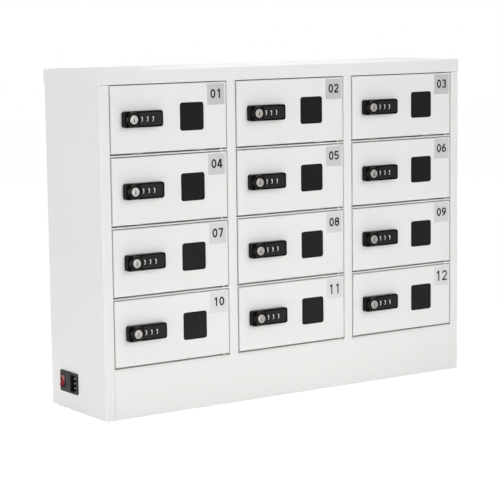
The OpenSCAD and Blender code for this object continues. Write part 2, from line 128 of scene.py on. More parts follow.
class Tree:
    """Adds nodes to a material, world or group, and joins their sockets."""

    def __init__(self, tree):
        self.tree = tree

    def add(self, kind, inputs=None, **settings):
        made = self.tree.nodes.new(kind)
        for key, value in settings.items():
            setattr(made, key, value)
        for key, value in (inputs or {}).items():
            self.feed(made.inputs[key], value)
        return made

    def feed(self, socket, value):
        if isinstance(value, bpy.types.NodeSocket):
            self.tree.links.new(value, socket)
        else:
            socket.default_value = value

    def calculate(self, operation, *values):
        made = self.add("ShaderNodeMath", operation=operation)
        for socket, value in zip(made.inputs, values):
            self.feed(socket, value)
        return made.outputs[0]

    def spread(self, value, low, high, to_low, to_high):
        """The value's stretch from low to high, laid over the stretch from to_low to to_high."""
        made = self.add(
            "ShaderNodeMapRange",
            {"Value": value, "From Min": low, "From Max": high, "To Min": to_low, "To Max": to_high},
        )
        return made.outputs["Result"]

    def noise(self, where, scale, detail=2.0, roughness=0.5):
        made = self.add(
            "ShaderNodeTexNoise",
            {"Vector": where, "Scale": scale, "Detail": detail, "Roughness": roughness},
        )
        return made.outputs["Fac"]

    def shade(self, color, share):
        """The colour made lighter or darker by a share that changes over the surface, round 1."""
        made = self.add("ShaderNodeHueSaturation", {"Color": color, "Value": share})
        return made.outputs["Color"]


def new_group(name, inputs, outputs):
    """An empty shader group: its tree, its inputs' node and its outputs' node."""
    group = bpy.data.node_groups.new(name, "ShaderNodeTree")
    kinds = {"value": "NodeSocketFloat", "color": "NodeSocketColor"}
    for socket, kind in inputs.items():
        group.interface.new_socket(socket, in_out="INPUT", socket_type=kinds[kind])
    for socket, kind in outputs.items():
        group.interface.new_socket(socket, in_out="OUTPUT", socket_type=kinds[kind])
    tree = Tree(group)
    return group, tree, tree.add("NodeGroupInput").outputs, tree.add("NodeGroupOutput").inputs


def powder_group():
    """Baked powder: a fine peel, faint clouds in the colour and an uneven roughness."""
    group, tree, given, out = new_group(
        "Powder coat",
        {"Color": "color", "Peel Scale": "value", "Clouds": "value", "Roughness": "value"},
        {"Color": "color", "Roughness": "value", "Height": "value"},
    )
    where = tree.add("ShaderNodeTexCoord").outputs["Object"]
    clouds = tree.noise(where, 7.0, detail=3.0)
    share = tree.calculate("MULTIPLY_ADD", tree.calculate("SUBTRACT", clouds, 0.5), given["Clouds"], 1.0)
    peel = tree.noise(where, given["Peel Scale"], detail=3.0, roughness=0.55)
    tree.feed(out["Color"], tree.shade(given["Color"], share))
    uneven = tree.spread(tree.noise(where, 60.0), 0.3, 0.7, -0.04, 0.04)
    tree.feed(out["Roughness"], tree.calculate("ADD", given["Roughness"], uneven))
    tree.feed(out["Height"], peel)
    return group


def moulded_group():
    """Moulded plastic: a spark-eroded grain with faint rubbed patches."""
    group, tree, given, out = new_group(
        "Moulded plastic",
        {"Color": "color", "Grain Scale": "value", "Roughness": "value", "Rubbing": "value"},
        {"Color": "color", "Roughness": "value", "Height": "value"},
    )
    where = tree.add("ShaderNodeTexCoord").outputs["Object"]
    grain = tree.noise(where, given["Grain Scale"], detail=4.0, roughness=0.6)
    patches = tree.noise(where, 120.0)
    rubbed = tree.calculate("MULTIPLY", tree.calculate("SUBTRACT", patches, 0.5), given["Rubbing"])
    tree.feed(out["Color"], tree.shade(given["Color"], tree.spread(grain, 0.2, 0.8, 0.9, 1.1)))
    tree.feed(out["Roughness"], tree.calculate("ADD", given["Roughness"], rubbed))
    tree.feed(out["Height"], grain)
    return group


def worked_group():
    """Drawn or turned metal: fine lines along one direction over a cloudy sheen."""
    group, tree, given, out = new_group(
        "Worked metal",
        {"Color": "color", "Line Scale": "value", "Stretch": "value", "Roughness": "value"},
        {"Color": "color", "Roughness": "value", "Height": "value"},
    )
    where = tree.add("ShaderNodeTexCoord").outputs["Object"]
    parts = tree.add("ShaderNodeSeparateXYZ", {"Vector": where})
    along = tree.calculate("MULTIPLY", parts.outputs["Z"], given["Stretch"])
    drawn = tree.add(
        "ShaderNodeCombineXYZ", {"X": parts.outputs["X"], "Y": parts.outputs["Y"], "Z": along}
    )
    lines = tree.noise(drawn.outputs[0], given["Line Scale"], detail=3.0, roughness=0.6)
    clouds = tree.noise(where, 200.0)
    tree.feed(out["Color"], tree.shade(given["Color"], tree.spread(clouds, 0.3, 0.7, 0.93, 1.05)))
    uneven = tree.spread(lines, 0.25, 0.75, -0.06, 0.08)
    tree.feed(out["Roughness"], tree.calculate("ADD", given["Roughness"], uneven))
    tree.feed(out["Height"], lines)
    return group


POWDER = powder_group()
MOULDED = moulded_group()
WORKED = worked_group()


def blank_tree(owner):
    """The emptied node tree of a material or a world."""
    owner.use_nodes = True
    owner.node_tree.nodes.clear()
    return Tree(owner.node_tree)


def new_material(name, group, values, bump, depth, **plain):
    """A Principled material whose colour, roughness and height come from a surface group.

    values are the group's inputs, bump is the strength of its relief, depth the relief's height in metres, and
    plain holds the shader's own constant sockets.
    """
    material = bpy.data.materials.new(name)
    tree = blank_tree(material)
    surface = tree.add("ShaderNodeGroup", node_tree=group)
    for key, value in values.items():
        surface.inputs[key].default_value = value
    relief = tree.add(
        "ShaderNodeBump",
        {"Height": surface.outputs["Height"], "Strength": bump, "Distance": depth},
    )
    shader = tree.add(
        "ShaderNodeBsdfPrincipled",
        {
            "Base Color": surface.outputs["Color"],
            "Roughness": surface.outputs["Roughness"],
            "Normal": relief.outputs["Normal"],
        },
    )
    for key, value in plain.items():
        shader.inputs[key.replace("_", " ")].default_value = value
    tree.add("ShaderNodeOutputMaterial", {"Surface": shader.outputs["BSDF"]})
    return material


def powder(name, color):
    values = {"Color": (*color, 1), "Peel Scale": 650.0, "Clouds": 0.05, "Roughness": 0.5}
    return new_material(name, POWDER, values, bump=0.25, depth=0.04 * MM, Specular_IOR_Level=0.3)


def plastic(name, color, rough, grain, bump, rubbing=0.1, **plain):
    values = {"Color": (*color, 1), "Grain Scale": grain, "Roughness": rough, "Rubbing": rubbing}
    return new_material(name, MOULDED, values, bump, depth=0.03 * MM, **plain)


def metal(name, color, rough, lines=3000.0, stretch=0.06):
    values = {"Color": (*color, 1), "Line Scale": lines, "Stretch": stretch, "Roughness": rough}
    return new_material(name, WORKED, values, bump=0.12, depth=0.02 * MM, Metallic=1.0)


def label_film(row):
    """The film of a row's labels, paler in the lower rows: painted light, for the stronger light that falls on
    the lower rows.
    """
    grey = LABEL_GREY + LABEL_PAINTED_LIGHT_STEP * row
    return plastic(
        f"Label film, row {row + 1}", (grey, grey + 0.003, grey - 0.005),
        rough=0.55, grain=1800.0, bump=0.1, rubbing=0.05,
    )


WHITE_COAT = powder("White powder coat", (0.80, 0.80, 0.785))
PANE = plastic(
    "Smoked acrylic", (0.0165, 0.0165, 0.0155),
    rough=0.1, grain=400.0, bump=0.02, rubbing=0.05, Specular_IOR_Level=0.12,
)
LOCK_BLACK = plastic(
    "Lock case black", (0.004, 0.004, 0.004), rough=0.2, grain=2200.0, bump=0.06, Specular_IOR_Level=0.1
)
DIAL_FACE = plastic(
    "Dial face", (0.018, 0.018, 0.0185), rough=0.4, grain=2400.0, bump=0.12, Specular_IOR_Level=0.15
)
KNOB_BLACK = plastic(
    "Knob black", (0.004, 0.004, 0.004), rough=0.08, grain=1500.0, bump=0.03, Specular_IOR_Level=0.2
)
WHEEL_BLACK = plastic(
    "Wheel black", (0.008, 0.008, 0.008), rough=0.4, grain=2600.0, bump=0.2, Specular_IOR_Level=0.3
)
WHITE_INK = plastic("White print", (0.80, 0.81, 0.80), rough=0.5, grain=3500.0, bump=0.1)
DARK_INK = plastic(
    "Dark print", (0.018, 0.018, 0.018), rough=0.5, grain=3500.0, bump=0.1, Specular_IOR_Level=0.2
)
LABEL_FILMS = [label_film(row) for row in range(ROWS)]
NICKEL = metal("Nickel plate", (0.61, 0.58, 0.54), rough=0.42, lines=2500.0, stretch=1.0)
ZINC = metal("Zinc plate", (0.62, 0.62, 0.60), rough=0.34)
TIN = metal("Tin plate", (0.88, 0.88, 0.87), rough=0.35)
INLET_BLACK = plastic(
    "Inlet plastic", (0.020, 0.020, 0.0195), rough=0.38, grain=2200.0, bump=0.2, Specular_IOR_Level=0.4
)
ROCKER_RED = plastic("Rocker red", (0.27, 0.008, 0.012), rough=0.32, grain=1200.0, bump=0.03, Coat_Weight=0.5)
OUTLET_BLACK = plastic("Outlet plastic", (0.020, 0.020, 0.021), rough=0.42, grain=2400.0, bump=0.2)
OUTLET_TONGUE = plastic("Outlet tongue", (0.70, 0.70, 0.68), rough=0.4, grain=2400.0, bump=0.1)
CONTACTS = metal("Gilt contacts", (0.75, 0.55, 0.25), rough=0.3)
SUPPLY_CASE = metal("Supply case", (0.55, 0.56, 0.57), rough=0.4, lines=1500.0, stretch=0.1)
LOOM_JACKET = plastic("Loom jacket", (0.016, 0.016, 0.017), rough=0.5, grain=1500.0, bump=0.25)
LEAD_COLORS = {"brown": (0.11, 0.045, 0.02), "green": (0.15, 0.32, 0.04), "blue": (0.03, 0.12, 0.34)}
LEADS = [
    plastic(f"Lead {hue}", color, rough=0.45, grain=1500.0, bump=0.1) for hue, color in LEAD_COLORS.items()
]


# Outlines, as points in a plane

def arc(x, y, radius, start, end, steps, squash=1.0):
    """Points on a round or oval stretch, with its angles in degrees."""
    turns = [math.radians(start + (end - start) * k / steps) for k in range(steps + 1)]
    return [(x + radius * math.cos(t), y + radius * squash * math.sin(t)) for t in turns]


def round_rect(width, height, radius, x, y, steps=5):
    """A rectangle with round corners, centred on x, y."""
    dx, dy = width / 2 - radius, height / 2 - radius
    points = []
    for k, (sx, sy) in enumerate([(1, 1), (-1, 1), (-1, -1), (1, -1)]):
        points += arc(x + sx * dx, y + sy * dy, radius, 90 * k, 90 * k + 90, steps)
    return points


def polygon(sides, radius, x, y):
    turns = [math.tau * k / sides for k in range(sides)]
    return [(x + radius * math.cos(t), y + radius * math.sin(t)) for t in turns]


# Solids, in millimetres

# Where a point of an outline lies, t along the axis
AXES = {
    "X": lambda u, v, t: (t, u, v),
    "Y": lambda u, v, t: (u, t, v),
}


def bridge(shape, low, high):
    """Faces between two rings of vertices, where either ring may be one point."""
    for k in range(len(low)):
        n = (k + 1) % len(low)
        corners = list(dict.fromkeys([low[k], low[n], high[n], high[k]]))
        if len(corners) > 2:
            shape.faces.new(corners)


def loft(sections, axis="Y"):
    """A closed solid through outlines with equal counts of points, given as (place along the axis, outline)."""
    shape = bmesh.new()
    rings = [[shape.verts.new(AXES[axis](u, v, t)) for u, v in outline] for t, outline in sections]
    for low, high in zip(rings, rings[1:]):
        bridge(shape, low, high)
    shape.faces.new(rings[0])
    shape.faces.new(rings[-1])
    bmesh.ops.recalc_face_normals(shape, faces=shape.faces)
    return shape


def slab(outline, start, end, axis="Y"):
    return loft([(start, outline), (end, outline)], axis)


def soft_slab(outline_at, start, end, edge, axis="Y", both=False, steps=3):
    """A slab whose edge at start, or at both ends, is rounded. outline_at gives its outline at an inset."""
    way = 1 if end > start else -1
    round_off = [
        (edge * (1 - math.sin(math.pi / 2 * k / steps)), edge * (1 - math.cos(math.pi / 2 * k / steps)))
        for k in range(steps, -1, -1)
    ]
    sections = [(start + way * back, outline_at(inset)) for back, inset in round_off]
    if both:
        sections += [(end - way * back, outline_at(inset)) for back, inset in reversed(round_off)]
    else:
        sections.append((end, outline_at(0)))
    return loft(sections, axis)


def soft_box(low, high):
    """A box between two corners, with small rounds on its corners and both ends."""
    edge = 0.2
    width, height = high[0] - low[0], high[2] - low[2]
    x, z = (low[0] + high[0]) / 2, (low[2] + high[2]) / 2
    return soft_slab(
        lambda i: round_rect(width - 2 * i, height - 2 * i, edge * 1.5 - i, x, z, 2),
        low[1], high[1], edge, both=True, steps=2,
    )


def box(low, high):
    """A plain box between two corners, for cutting."""
    corners = [(low[0], low[2]), (high[0], low[2]), (high[0], high[2]), (low[0], high[2])]
    return slab(corners, low[1], high[1])


def turned(profile, axis, u, v, steps):
    """A solid of revolution round a line through u, v. The profile is (place along the axis, radius)."""
    shape = bmesh.new()
    rings = []
    for t, radius in profile:
        if radius == 0:
            rings.append([shape.verts.new(AXES[axis](u, v, t))] * steps)
        else:
            rings.append([shape.verts.new(AXES[axis](*p, t)) for p in polygon(steps, radius, u, v)])
    for low, high in zip(rings, rings[1:]):
        bridge(shape, low, high)
    if profile[0][1] > 0:
        bridge(shape, rings[-1], rings[0])
    bmesh.ops.recalc_face_normals(shape, faces=shape.faces)
    return shape


def rod(start, end, radius, axis, u=0.0, v=0.0, edge=0.0, steps=32):
    """A turned rod, with its ends broken by a small chamfer."""
    profile = [(start, 0), (start, radius - edge), (end, radius - edge), (end, 0)]
    if edge:
        way = edge if end > start else -edge
        profile[2:2] = [(start + way, radius), (end - way, radius)]
    return turned(profile, axis, u, v, steps)


def moved(shape, matrix):
    shape.transform(matrix)
    return shape


def new_object(name, data):
    """An object in the scene."""
    made = bpy.data.objects.new(name, data)
    bpy.context.scene.collection.objects.link(made)
    return made


def carved(block, *cutters):
    """The block with the cutters taken out of it."""
    def as_object(shape):
        mesh = bpy.data.meshes.new("carving")
        shape.to_mesh(mesh)
        shape.free()
        return new_object("carving", mesh)

    made = as_object(block)
    tools = [as_object(cutter) for cutter in cutters]
    for tool in tools:
        cut = made.modifiers.new("cut", "BOOLEAN")
        cut.object = tool
        cut.solver = "EXACT"
    result = bmesh.new()
    result.from_object(made, bpy.context.evaluated_depsgraph_get())
    for spare in [made, *tools]:
        mesh = spare.data
        bpy.data.objects.remove(spare)
        bpy.data.meshes.remove(mesh)
    return result


def creased(mesh):
    """The mesh, smooth up to its folded edges."""
    mesh.set_sharp_from_angle(angle=math.radians(35))
    return mesh


def evened(mesh):
    """The mesh with normals that follow its largest faces, so that flats stay flat beside rounded edges."""
    holder = new_object("evened", mesh)
    weigh = holder.modifiers.new("normals", "WEIGHTED_NORMAL")
    weigh.keep_sharp = True
    weigh.weight = 100
    made = bpy.data.meshes.new_from_object(holder.evaluated_get(bpy.context.evaluated_depsgraph_get()))
    bpy.data.objects.remove(holder)
    bpy.data.meshes.remove(mesh)
    return made


def new_mesh(name, *pairs, flats=False):
    """One mesh of several (shape, material) pairs. With flats, the faces that look along Y aren't smoothed."""
    mesh = bpy.data.meshes.new(name)
    whole = bmesh.new()
    for shape, material in pairs:
        if material.name not in mesh.materials:
            mesh.materials.append(material)
        index = mesh.materials.find(material.name)
        part = bpy.data.meshes.new("part")
        shape.to_mesh(part)
        shape.free()
        first = len(whole.faces)
        whole.from_mesh(part)
        whole.faces.ensure_lookup_table()
        for face in whole.faces[first:]:
            face.material_index = index
            face.smooth = not (flats and abs(face.normal.y) > 0.99)
        bpy.data.meshes.remove(part)
    whole.to_mesh(mesh)
    whole.free()
    return evened(creased(mesh))


def set_piece(name, mesh, body, place=Vector((0, 0, 0)), stands_for=()):
    """A piece from a mesh in millimetres, moved to its place in metres and riding on a body."""
    mesh = mesh.copy()
    mesh.name = name
    mesh.transform(Matrix.Translation(place) @ Matrix.Scale(MM, 4))
    piece = new_object(name, mesh)
    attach(piece, body)
    if stands_for:
        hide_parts(*stands_for)


# Numerals, drawn with a flat pen in a box one unit high

# Stroke widths of the labels, of the larger figures and of the number wheels
PEN = 0.185
LARGE_PEN = 0.14
WHEEL_PEN = 0.25

# Middles of the lowest and the highest stroke, and how far a bowl reaches to each side and up and down
BASE = PEN / 2
CROWN = 1 - PEN / 2
HALF = 0.235
BOWL = 0.235


def line(*corners):
    """Points along straight strokes, close enough together to bend round a wheel."""
    steps = 6
    points = [corners[0]]
    for (x0, y0), (x1, y1) in zip(corners, corners[1:]):
        points += [(x0 + (x1 - x0) * k / steps, y0 + (y1 - y0) * k / steps) for k in range(1, steps + 1)]
    return points


def oval(y, radius, height):
    return arc(0, y, radius, 0, 360, 28, height / radius)[:-1]


def strokes(digit):
    """Centre lines of a numeral, each with True where it closes on itself."""
    if digit == 0:
        return [(oval(0.5, HALF, 0.5 - BASE), True)]
    if digit == 1:
        return [(line((0.07, 0), (0.07, 1)), False), (line((-0.15, 0.76), (0.05, 0.93)), False)]
    if digit == 2:
        hook = arc(0, CROWN - HALF, HALF, 170, -35, 14)
        foot = line((-HALF - 0.05, BASE), (HALF + 0.06, BASE))
        return [(hook + line(hook[-1], (-HALF + 0.03, BASE))[1:], False), (foot, False)]
    if digit == 3:
        upper = arc(0, CROWN - 0.2, HALF - 0.01, 160, -90, 14, 0.2 / (HALF - 0.01))
        lower = arc(0, CROWN - 0.4 - 0.225, HALF, 90, -160, 14, 0.225 / HALF)
        return [(upper + lower[1:], False)]
    if digit == 4:
        slope = line((0.11, 0.98), (-HALF - 0.03, 0.27))
        bar = line((-HALF - 0.08, 0.26), (HALF + 0.08, 0.26))
        return [(slope, False), (bar, False), (line((0.13, 1), (0.13, 0)), False)]
    if digit == 5:
        flag = line((HALF + 0.03, CROWN), (-HALF + 0.03, CROWN), (-HALF + 0.02, 0.5))
        return [(flag, False), (arc(0, BASE + BOWL, HALF, 140, -150, 16, BOWL / HALF), False)]
    if digit == 6:
        stem = arc(HALF * 0.95, BASE + BOWL, HALF * 1.95, 180, 96, 12, (CROWN - BASE - BOWL) / HALF / 1.95)
        return [(oval(BASE + BOWL, HALF, BOWL), True), (stem, False)]
    if digit == 7:
        top = line((-HALF - 0.05, CROWN), (HALF + 0.06, CROWN))
        return [(top, False), (line((HALF, CROWN), (-0.06, 0)), False)]
    if digit == 8:
        return [(oval(CROWN - 0.195, HALF - 0.02, 0.195), True), (oval(BASE + BOWL, HALF, BOWL), True)]
    return [([(-x, 1 - y) for x, y in points], closed) for points, closed in strokes(6)]


def ribbon(shape, points, closed, width, place):
    """Adds a flat band of ink along a centre line. place puts (across, up, out) into the solid's frame."""
    rings = []
    count = len(points)
    for k, (x, y) in enumerate(points):
        before = points[k - 1] if k or closed else points[k]
        after = points[(k + 1) % count] if k < count - 1 or closed else points[k]
        way = Vector((after[0] - before[0], after[1] - before[1])).normalized()
        side = Vector((-way.y, way.x)) * width / 2
        corners = ((1, 0), (-1, 0), (-1, 1), (1, 1))
        rings.append([shape.verts.new(place(x + s * side.x, y + s * side.y, out)) for s, out in corners])
    for low, high in zip(rings, rings[1:] + rings[:1] if closed else rings[1:]):
        bridge(shape, low, high)
    if not closed:
        shape.faces.new(rings[0])
        shape.faces.new(rings[-1])


def numeral(digit, place, pen):
    """A printed numeral as thin bands of ink."""
    shape = bmesh.new()
    for points, closed in strokes(digit):
        ribbon(shape, points, closed, pen, place)
    bmesh.ops.recalc_face_normals(shape, faces=shape.faces)
    return shape


# Boxes of the first door and of what sits on it, in millimetres from the door's corner

door_low, door_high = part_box("door_01")


def on_door(node):
    low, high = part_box(node)
    return (low - door_low) / MM, (high - door_low) / MM


leaf_w, leaf_h = (door_high.x - door_low.x) / MM, (door_high.z - door_low.z) / MM
lock_low, lock_high = on_door("lock_01")
knob_low, knob_high = on_door("knob_01")
dial_low, dial_high = on_door("dials_01")
lock_left, lock_right = lock_low.x + PLATE_OVER, lock_high.x - PLATE_OVER
lock_x = (lock_left + lock_right) / 2
lock_z = (lock_low.z + lock_high.z) / 2
knob_r = (knob_high.x - knob_low.x) / 2
knob_x = (knob_high.x + knob_low.x) / 2
wheel_r = (dial_high.z - dial_low.z) / 2
wheel_y = (dial_high.y + dial_low.y) / 2
wheel_pitch = (dial_high.x - dial_low.x - WHEEL_W) / 2
wheels_x = [dial_low.x + WHEEL_W / 2 + k * wheel_pitch for k in range(3)]


def cross_head(y, x, z, radius, height):
    """A screw head that faces the back, with a cross recess."""
    dome = [(y, 0), (y, radius)]
    dome += [(y + height * s, radius * c) for s, c in ((0.5, 0.96), (0.8, 0.84), (1.0, 0.6))]
    head = turned(dome + [(y + height, 0)], "Y", x, z, 28)
    deep, far = y + height * 0.35, y + height + 1
    arm, half = radius * 0.55, radius * 0.11
    bars = [box((x - a, deep, z - b), (x + a, far, z + b)) for a, b in ((arm, half), (half, arm))]
    return carved(head, *bars)


# Lock

def lock_case():
    """Case in front of the door with its inlaid dial face, and the narrower block behind."""
    face = lock_low.y

    def outline(inset):
        width = lock_right - lock_left
        return round_rect(width - 2 * inset, LOCK_H - 2 * inset, LOCK_CORNER - inset, lock_x, lock_z)

    slot_w = WHEEL_W + 0.6
    slot_r = wheel_r + WHEEL_GAP
    slot_h = 2 * math.sqrt(slot_r ** 2 - (wheel_y - face) ** 2)
    slots = []
    for x in wheels_x:
        slots.append(rod(x - slot_w / 2, x + slot_w / 2, slot_r, "X", wheel_y, lock_z, steps=64))
        slots.append(loft([
            (face - 0.1, round_rect(slot_w + 1.3, slot_h + 0.9, 0.6, x, lock_z)),
            (face + 0.5, round_rect(slot_w - 0.1, slot_h - 0.3, 0.2, x, lock_z)),
        ]))
    inlay_left, inlay_right = knob_x + knob_r + 1, lock_right - INLAY_IN

    def inlay_outline(grow):
        width, height = inlay_right - inlay_left, LOCK_H - 2 * INLAY_IN
        middle = (inlay_left + inlay_right) / 2
        return round_rect(width + 2 * grow, height + 2 * grow, INLAY_CORNER + grow, middle, lock_z)

    inlay = slab(inlay_outline(-INLAY_GAP), face + JOIN, face + INLAY_T)
    inlay = carved(inlay, *[slot.copy() for slot in slots])
    recess = slab(inlay_outline(0), face - 1, face + INLAY_T + JOIN)
    low, high = lock_z - CASE_H / 2, lock_z + CASE_H / 2
    pocket_low = (dial_low.x - 0.9, wheel_y, low + 1)
    pocket_high = (dial_high.x + 0.9, CASE_IN + 1, high - 1)
    bearing = rod(face - 1, CASE_IN + 1, SPINDLE_R + JOIN, "Y", knob_x, lock_z)
    front = soft_slab(outline, face, 0, 1.0)
    rear = box((lock_left + CASE_END, -0.5, low), (lock_right - CASE_END, CASE_IN, high))
    front = carved(front, *slots, recess, box(pocket_low, pocket_high), bearing.copy())
    rear = carved(rear, bearing, box((pocket_low[0], -1, pocket_low[2]), pocket_high))
    return front, rear, inlay


def clamp_plate():
    """Steel plate that clamps the lock from behind the door."""
    width, height = lock_high.x - lock_low.x, lock_high.z - lock_low.z

    def outline(inset):
        return round_rect(width - 2 * inset, height - 2 * inset, 2 - inset, lock_x, lock_z)

    plate = soft_slab(outline, PLATE_IN, PLATE_IN + PLATE_T, 0.2, both=True, steps=2)
    return carved(plate, box(
        (lock_left + CASE_END - 0.2, 0, lock_z - CASE_H / 2 - 0.2),
        (lock_right - CASE_END + 0.2, 4, lock_z + CASE_H / 2 + 0.2),
    ))


def lock_mesh():
    front, rear, inlay = lock_case()
    cover = soft_box(
        (dial_low.x - 1.9, CASE_IN + JOIN, lock_z - CASE_H / 2),
        (dial_high.x + 1.9, CASE_IN + JOIN + COVER_T, lock_z + CASE_H / 2),
    )
    axle = rod(dial_low.x - 0.8, dial_high.x + 0.8, AXLE_R, "X", wheel_y, lock_z, steps=20)
    pairs = [
        (front, LOCK_BLACK), (inlay, DIAL_FACE), (rear, LOCK_BLACK), (clamp_plate(), ZINC), (cover, ZINC),
        (axle, ZINC),
    ]
    for x in (lock_left + SCREW_IN, lock_right - SCREW_IN):
        pairs.append((cross_head(PLATE_IN + PLATE_T + 0.02, x, lock_z, SCREW_R, SCREW_T), ZINC))
    return new_mesh("lock", *pairs)


# Knob, key cylinder, cam and nut

def knob_body():
    """Round grip with a rolled shoulder and a seat for the key cylinder."""
    back, face = lock_low.y - 0.1, knob_low.y + 0.2
    roll = 2.0
    shoulder = [
        (face + roll * (1 - math.sin(t)), knob_r - roll * (1 - math.cos(t)))
        for t in (math.radians(15 * k) for k in range(7))
    ]
    profile = [(back, 0), (back, knob_r - 0.5), (back - 0.5, knob_r)] + shoulder
    profile += [(face, PLUG_R + 0.9), (face + 0.45, PLUG_R + 0.45), (face + 0.45, PLUG_R + 0.1)]
    profile += [(back - 1.4, PLUG_R + 0.1), (back - 1.4, 0)]
    return turned(profile, "Y", knob_x, lock_z, 72)


def key_cylinder():
    """Plated cylinder with a raised rim, and a black block in its keyway: painted shade for the keyway's dark
    depth.
    """
    face, back = knob_low.y, lock_low.y - 1.55
    profile = [
        (back, 0), (back, PLUG_R), (face + 0.5, PLUG_R), (face + 0.15, PLUG_R - 0.2), (face, PLUG_R - 0.6),
        (face, 5.7), (face + 0.15, 5.5), (face + 0.45, 5.4), (face + 0.45, 5.0), (face + 0.2, 4.8),
        (face + 0.15, 0),
    ]
    plug = turned(profile, "Y", knob_x, lock_z, 64)
    deep = face + 3

    def keyway(start, end, shrink):
        """The slot, with a narrow upper half and a wide lower one."""
        wide, narrow, end_z = 0.85 - shrink, 0.45 - shrink, 3.4 - shrink
        step = 0.6
        outline = [
            (narrow, end_z), (-narrow, end_z), (-narrow, step), (-wide, step),
            (-wide, -end_z), (wide, -end_z), (wide, step), (narrow, step),
        ]
        return slab([(knob_x + x, lock_z + z) for x, z in outline], start, end)

    # The second solid fills the keyway below its mouth in black: painted shade for its dark depth
    return carved(plug, keyway(face - 1, deep, 0)), keyway(face + 0.7, deep - 0.02, 0.02)


def thread_hole(start):
    """What the threaded end of the spindle needs cut out of the cam and the nut."""
    return rod(start - 1, start + 4, THREAD_R + JOIN, "Y", knob_x, lock_z)


def cam():
    """Flat cam with a round boss and a round tip, standing upright."""
    reach = knob_high.z - lock_z

    def outline(inset):
        tip, boss = CAM_TIP_R - inset, CAM_BOSS_R - inset
        join = math.degrees(math.asin(tip / boss))
        around = arc(knob_x, lock_z, boss, 90 + join, 450 - join, 24)
        return around + arc(knob_x, lock_z + reach - CAM_TIP_R, tip, 0, 180, 12)

    start = CAM_BACK + JOIN
    plate = soft_slab(outline, start, start + CAM_T, 0.25, both=True, steps=2)
    return carved(plate, thread_hole(start))


def nut():
    start = CAM_BACK + CAM_T + 2 * JOIN

    def outline(inset):
        return polygon(6, NUT_R - inset, knob_x, lock_z)

    hexagon = soft_slab(outline, start, start + NUT_T, 0.35, both=True, steps=2)
    return carved(hexagon, thread_hole(start))


def spindle():
    """Spindle through the case, with a threaded end for the nut."""
    front, root_r = lock_low.y - 0.3, THREAD_R - 0.3
    profile = [(front, 0), (front, SPINDLE_R), (CAM_BACK, SPINDLE_R), (CAM_BACK, THREAD_R)]
    thread = CAM_BACK + CAM_T
    while thread < knob_high.y - 0.5:
        profile += [(thread, THREAD_R), (thread + 0.25, root_r), (thread + 0.5, THREAD_R)]
        thread += 0.55
    profile += [(knob_high.y, root_r), (knob_high.y, 0)]
    return turned(profile, "Y", knob_x, lock_z, 28)


def knob_mesh():
    # The black block in the keyway is painted shade for its dark depth
    plug, keyway_shade = key_cylinder()
    return new_mesh(
        "knob", (knob_body(), KNOB_BLACK), (spindle(), ZINC), (plug, NICKEL), (keyway_shade, LOCK_BLACK),
        (cam(), ZINC), (nut(), ZINC),
    )


# Number wheels

def wheel(x):
    """A wheel with a smooth band for its numerals and a ribbed collar at its right."""
    start, end = x - WHEEL_W / 2, x + WHEEL_W / 2
    band, ribs = end - COLLAR_W, 36
    band_r, root_r = wheel_r - BAND_IN, wheel_r - 0.3
    smooth = turned(
        [(start, WHEEL_BORE), (start, wheel_r - 0.5), (start + 0.3, band_r), (band, band_r), (band, WHEEL_BORE)],
        "X", wheel_y, lock_z, 60,
    )
    teeth = [
        (wheel_y + r * math.cos(t), lock_z + r * math.sin(t))
        for k in range(ribs)
        for r, t in (
            (wheel_r, math.tau * k / ribs), (wheel_r, math.tau * (k + 0.45) / ribs),
            (root_r, math.tau * (k + 0.6) / ribs), (root_r, math.tau * (k + 0.85) / ribs),
        )
    ]
    bore = rod(band - 1, end + 1, WHEEL_BORE, "X", wheel_y, lock_z)
    return smooth, carved(slab(teeth, band, end, "X"), bore)


def wheel_print(x):
    """Ten numerals round the smooth band, with the shown one facing the front."""
    height, out = 4.2, 0.04
    prints = []
    for digit in range(10):
        def place(across, up, over, digit=digit):
            radius = wheel_r - BAND_IN - INK_IN + out * over
            turn = math.tau * (digit - SHOWN) / 10 + (up - 0.5) * height / wheel_r
            return (
                x - COLLAR_W / 2 + across * height,
                wheel_y - radius * math.cos(turn),
                lock_z + radius * math.sin(turn),
            )
        prints.append((numeral(digit, place, WHEEL_PEN), WHITE_INK))
    return prints


def dials_mesh():
    pairs = []
    for x in wheels_x:
        pairs += [(shape, WHEEL_BLACK) for shape in wheel(x)] + wheel_print(x)
    return new_mesh("dials", *pairs)


# Number labels

def label_mesh(number):
    """A thin plate with a two-figure number, at the top right of its door."""
    x = leaf_w - LABEL_RIGHT - LABEL_W / 2
    z = leaf_h - LABEL_TOP - LABEL_H / 2

    def outline(inset):
        return round_rect(LABEL_W - 2 * inset, LABEL_H - 2 * inset, 0.8 - inset, x, z, 3)

    plate = soft_slab(outline, -LABEL_T, 0.02, 0.12, steps=2)
    pairs = [(plate, LABEL_FILMS[(number - 1) // COLUMNS])]
    scale, aside, above = LARGE_FIGURES.get(number, (1, 0, 0))
    pen = LARGE_PEN if number in LARGE_FIGURES else PEN
    for digit, side in ((number // 10, -0.5), (number % 10, 0.5)):
        def place(across, up, over, side=side):
            return (
                x + aside + scale * (side * DIGIT_PITCH + across * DIGIT_H),
                -LABEL_T + INK_IN - INK_T * over,
                z + above + DIGITS_UP + scale * (up - 0.5) * DIGIT_H,
            )
        pairs.append((numeral(digit, place, pen), DARK_INK))
    return new_mesh("label", *pairs)


def dress_doors():
    """Sets a lock, knob, wheels and label on every door."""
    lock, knob, dials = lock_mesh(), knob_mesh(), dials_mesh()
    for number in range(1, DOORS + 1):
        tag = f"{number:02d}"
        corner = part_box(f"door_{tag}")[0]
        set_piece(f"lock_case_{tag}", lock, f"door_{tag}", corner, [f"lock_{tag}"])
        set_piece(f"lock_knob_{tag}", knob, f"knob_{tag}", corner, [f"knob_{tag}"])
        set_piece(f"lock_wheels_{tag}", dials, f"dials_{tag}", corner, [f"dials_{tag}"])
        set_piece(f"number_label_{tag}", label_mesh(number), f"door_{tag}", corner)


